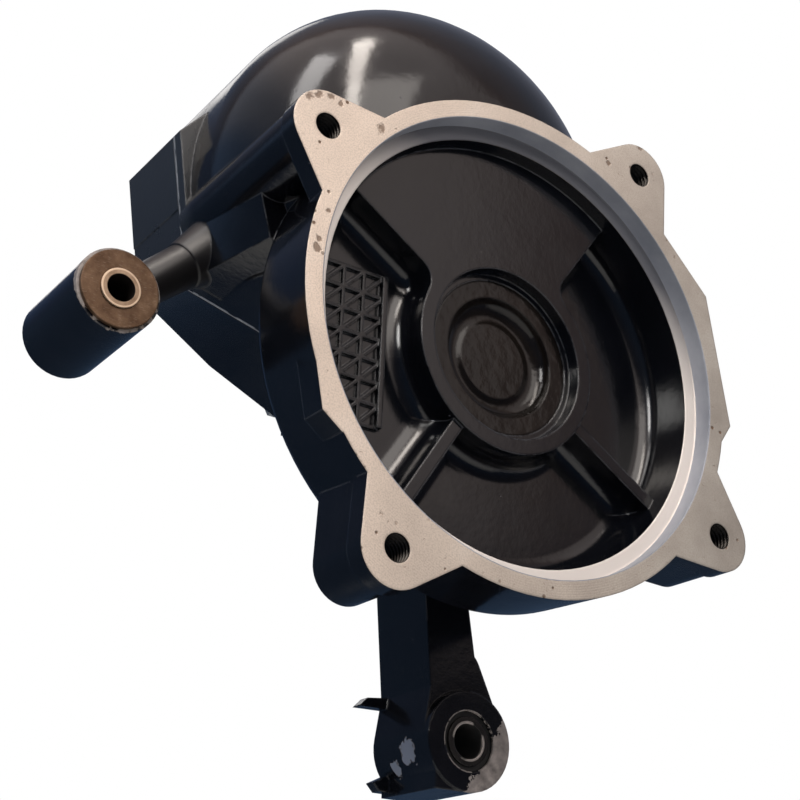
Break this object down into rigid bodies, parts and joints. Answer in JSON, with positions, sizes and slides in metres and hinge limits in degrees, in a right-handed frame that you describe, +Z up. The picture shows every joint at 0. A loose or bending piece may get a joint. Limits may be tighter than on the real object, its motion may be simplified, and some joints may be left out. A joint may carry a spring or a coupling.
{
  "type": "crane gear motor",
  "caption": "Offset spur gear unit with an open motor bell, a torque arm with an eye, and a rubber bush on a stub.",
  "frame": {"origin": "motor axis at the machined flange face", "axes": "+Y from the flange face into the gear case along the shafts, +Z up, away from the torque arm"},
  "size_m": [0.2597, 0.1455, 0.3192],
  "materials": {
    "black_paint": "gloss black paint on a casting",
    "bush_rubber": "matt rubber",
    "seal_rubber": "matt nitrile",
    "gasket": "painted over at the edge",
    "bronze": "worn bronze brown",
    "sleeve_steel": "turned steel",
    "bearing_steel": "ground steel",
    "spring_steel": "phosphated",
    "zinc_steel": "zinc plated",
    "seal_washer": "bare",
    "turned_steel": "turned steel",
    "gear_steel": "ground teeth"
  },
  "bodies": {
    "case": {"bore_circlip": "spring_steel", "closing_cap": "black_paint", "drain_plug": "zinc_steel", "eye_bush_rubber": "bush_rubber", "eye_bush_sleeve": "sleeve_steel", "filler_plug": "zinc_steel", "gear_housing": "black_paint", "input_front_bearing_outer": "bearing_steel", "input_rear_bearing_outer": "bearing_steel", "intermediate_front_bearing_outer": "bearing_steel", "intermediate_rear_bearing_outer": "bearing_steel", "left_bush_rubber": "bush_rubber", "left_bush_sleeve": "sleeve_steel", "left_bush_washers": "bronze", "level_plug": "zinc_steel", "output_front_bearing_outer": "bearing_steel", "output_rear_bearing_outer": "bearing_steel", "output_seal": "seal_rubber", "plug_washers": "seal_washer", "rear_housing": "black_paint", "split_dowels": "zinc_steel", "split_gasket": "gasket", "split_screws": "zinc_steel"},
    "input": {"input_pinion_shaft": "gear_steel", "input_front_bearing_inner": "bearing_steel", "input_rear_bearing_inner": "bearing_steel"},
    "intermediate": {"intermediate_pinion_shaft": "gear_steel", "intermediate_wheel": "gear_steel", "intermediate_key": "gear_steel", "wheel_circlip": "spring_steel", "intermediate_front_bearing_inner": "bearing_steel", "intermediate_rear_bearing_inner": "bearing_steel"},
    "output": {"output_hollow_shaft": "turned_steel", "output_wheel": "gear_steel", "output_key": "gear_steel", "output_spacer": "gear_steel", "output_front_bearing_inner": "bearing_steel", "output_rear_bearing_inner": "bearing_steel"}
  },
  "joints": [
    {"name": "output_spin", "type": "hinge", "parent": "case", "child": "output", "pos_m": [-0.01643, 0.09, 0.07666], "axis": [0, 1, 0], "continuous": true},
    {"name": "intermediate_spin", "type": "hinge", "parent": "case", "child": "intermediate", "pos_m": [0.0458, 0.09, 0.01877], "axis": [0, 1, 0], "continuous": true},
    {"name": "input_spin", "type": "hinge", "parent": "case", "child": "input", "pos_m": [0, 0.06, 0], "axis": [0, 1, 0], "continuous": true}
  ],
  "couplings": [
    {"joint": "intermediate_spin", "follows": "output_spin", "ratio": -3.8571},
    {"joint": "input_spin", "follows": "output_spin", "ratio": 13.114}
  ]
}
